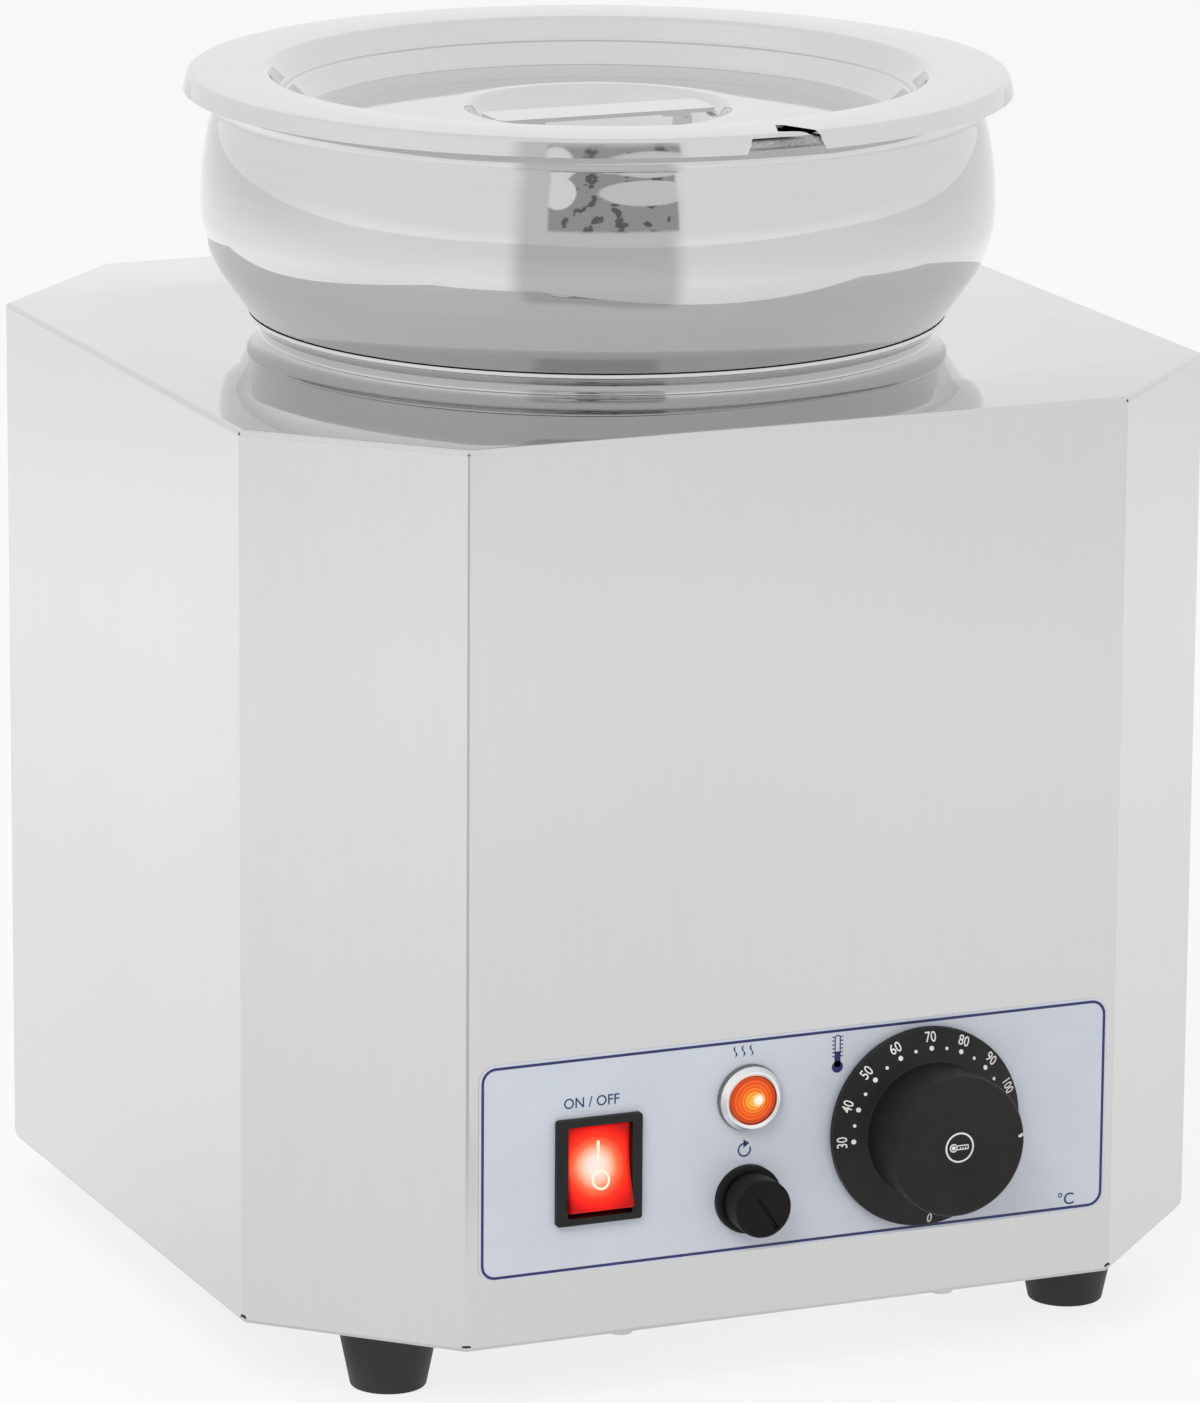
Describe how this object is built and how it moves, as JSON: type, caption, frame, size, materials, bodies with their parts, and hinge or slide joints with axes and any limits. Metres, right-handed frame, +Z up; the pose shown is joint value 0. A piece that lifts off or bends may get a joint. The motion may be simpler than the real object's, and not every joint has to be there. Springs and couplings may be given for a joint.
{
  "type": "bain marie",
  "caption": "Electric bain marie: octagonal steel housing, lift-out round pot with notched lid, and a front strip with rocker switch, lamp, capped reset and dial.",
  "frame": {"origin": "on the surface it stands on, under the pot's axis, at the middle of the housing", "axes": "+Z up along the pot's axis, -Y towards the front with the controls, +X to the right"},
  "size_m": [0.3, 0.347, 0.3582],
  "materials": {
    "polished_steel": "mirror-polished stainless steel",
    "tank_steel": "mill-finish stainless steel",
    "pot_steel": "satin-polished stainless steel",
    "lid_steel": "polished stainless steel",
    "overlay_film": "satin printed film",
    "black_plastic": "fine moulded texture",
    "rocker_red": "translucent, lit from inside",
    "lamp_chrome": "bright chrome",
    "lamp_amber": "translucent, lit from inside",
    "white_plastic": "moulded",
    "control_metal": "plated",
    "brass": "plain",
    "aluminium": "cast, machined",
    "element_steel": "oxidised sheath",
    "zinc_fastener": "zinc plated",
    "gland_grey": "moulded",
    "button_red": "moulded",
    "foot_rubber": "matt"
  },
  "bodies": {
    "housing": {"deck": "polished_steel", "housing_wrap": "polished_steel", "front_panel": "polished_steel", "base_plate": "polished_steel", "water_tank": "tank_steel", "control_overlay": "overlay_film", "switch_housing": "black_plastic", "switch_terminals": "brass", "indicator_ring": "lamp_chrome", "indicator_lens": "lamp_amber", "indicator_body": "white_plastic", "indicator_nut": "white_plastic", "cutout_body": "white_plastic", "cutout_nut": "black_plastic", "thermostat_body": "control_metal", "thermostat_screws": "zinc_fastener", "heater_plate": "aluminium", "heating_element": "element_steel", "heater_clamp": "tank_steel", "clamp_stud": "zinc_fastener", "clamp_nut": "zinc_fastener", "thermostat_bulb": "control_metal", "cutout_bulb": "control_metal", "bulb_clips": "tank_steel", "thermostat_capillary": "control_metal", "cutout_capillary": "control_metal", "foot_front_left": "foot_rubber", "foot_front_right": "foot_rubber", "foot_rear_left": "foot_rubber", "foot_rear_right": "foot_rubber", "foot_screws": "zinc_fastener", "foot_nuts": "zinc_fastener", "base_screws": "zinc_fastener", "cable_gland": "gland_grey", "gland_cap": "gland_grey", "gland_locknut": "gland_grey", "terminal_block": "white_plastic", "terminal_screws": "brass", "earth_stud": "brass", "earth_nut": "brass"},
    "pot": {"pot": "pot_steel"},
    "lid": {"lid_pan": "lid_steel", "lid_handle": "lid_steel"},
    "dial": {"knob": "black_plastic", "thermostat_shaft": "control_metal"},
    "rocker": {"rocker": "rocker_red"},
    "reset_cap": {"reset_cap": "black_plastic"},
    "reset_button": {"reset_button": "button_red"}
  },
  "joints": [
    {"name": "pot_lift", "type": "slide", "parent": "housing", "child": "pot", "axis": [0, 0, 1], "range_m": [0, 0.2]},
    {"name": "lid_lift", "type": "slide", "parent": "pot", "child": "lid", "axis": [0, 0, 1], "range_m": [0, 0.15]},
    {"name": "dial_turn", "type": "hinge", "parent": "housing", "child": "dial", "pos_m": [0.0396, -0.1475, 0.0729], "axis": [0, -1, 0], "range_deg": [-133, 118]},
    {"name": "rocker_tilt", "type": "hinge", "parent": "housing", "child": "rocker", "pos_m": [-0.0613, -0.14475, 0.0709], "axis": [1, 0, 0], "range_deg": [0, 18]},
    {"name": "reset_cap_off", "type": "slide", "parent": "housing", "child": "reset_cap", "axis": [0, -1, 0], "range_m": [0, 0.02]},
    {"name": "reset_press", "type": "slide", "parent": "housing", "child": "reset_button", "axis": [0, 1, 0], "range_m": [0, 0.002], "stiffness_N_per_m": 300, "springref_m": -0.002}
  ]
}
